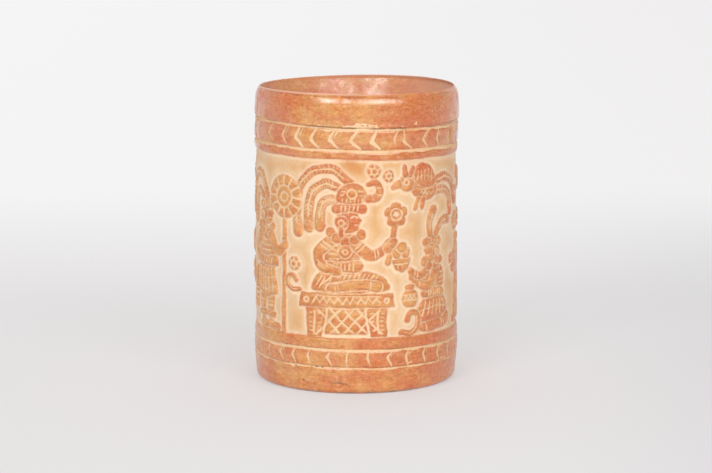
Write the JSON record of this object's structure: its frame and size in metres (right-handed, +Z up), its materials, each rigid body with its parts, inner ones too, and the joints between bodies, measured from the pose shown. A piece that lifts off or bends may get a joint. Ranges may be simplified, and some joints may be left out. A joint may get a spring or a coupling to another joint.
{
  "type": "cylinder vase",
  "caption": "Straight-sided carved earthenware cylinder vase with an open mouth, chevron bands and a figure frieze in low relief.",
  "frame": {"origin": "middle of the flat underside that the vase rests on", "axes": "+Z up along the vase's own axis, -Y towards the front of the carved frieze, +X to the right as seen from the front"},
  "size_m": [0.103, 0.103, 0.1476],
  "materials": {
    "burnished_slip": "burnished orange slip, satin with soft highlights",
    "carved_relief": "matte cream ground scraped round orange slipped figures",
    "raw_clay": "matte fired clay"
  },
  "bodies": {
    "root": {"base_slab": "burnished_slip", "lower_band_ring": "burnished_slip", "figure_drum": "carved_relief", "upper_band_ring": "burnished_slip", "rim_collar": "burnished_slip", "corner_coil": "raw_clay"}
  },
  "joints": []
}
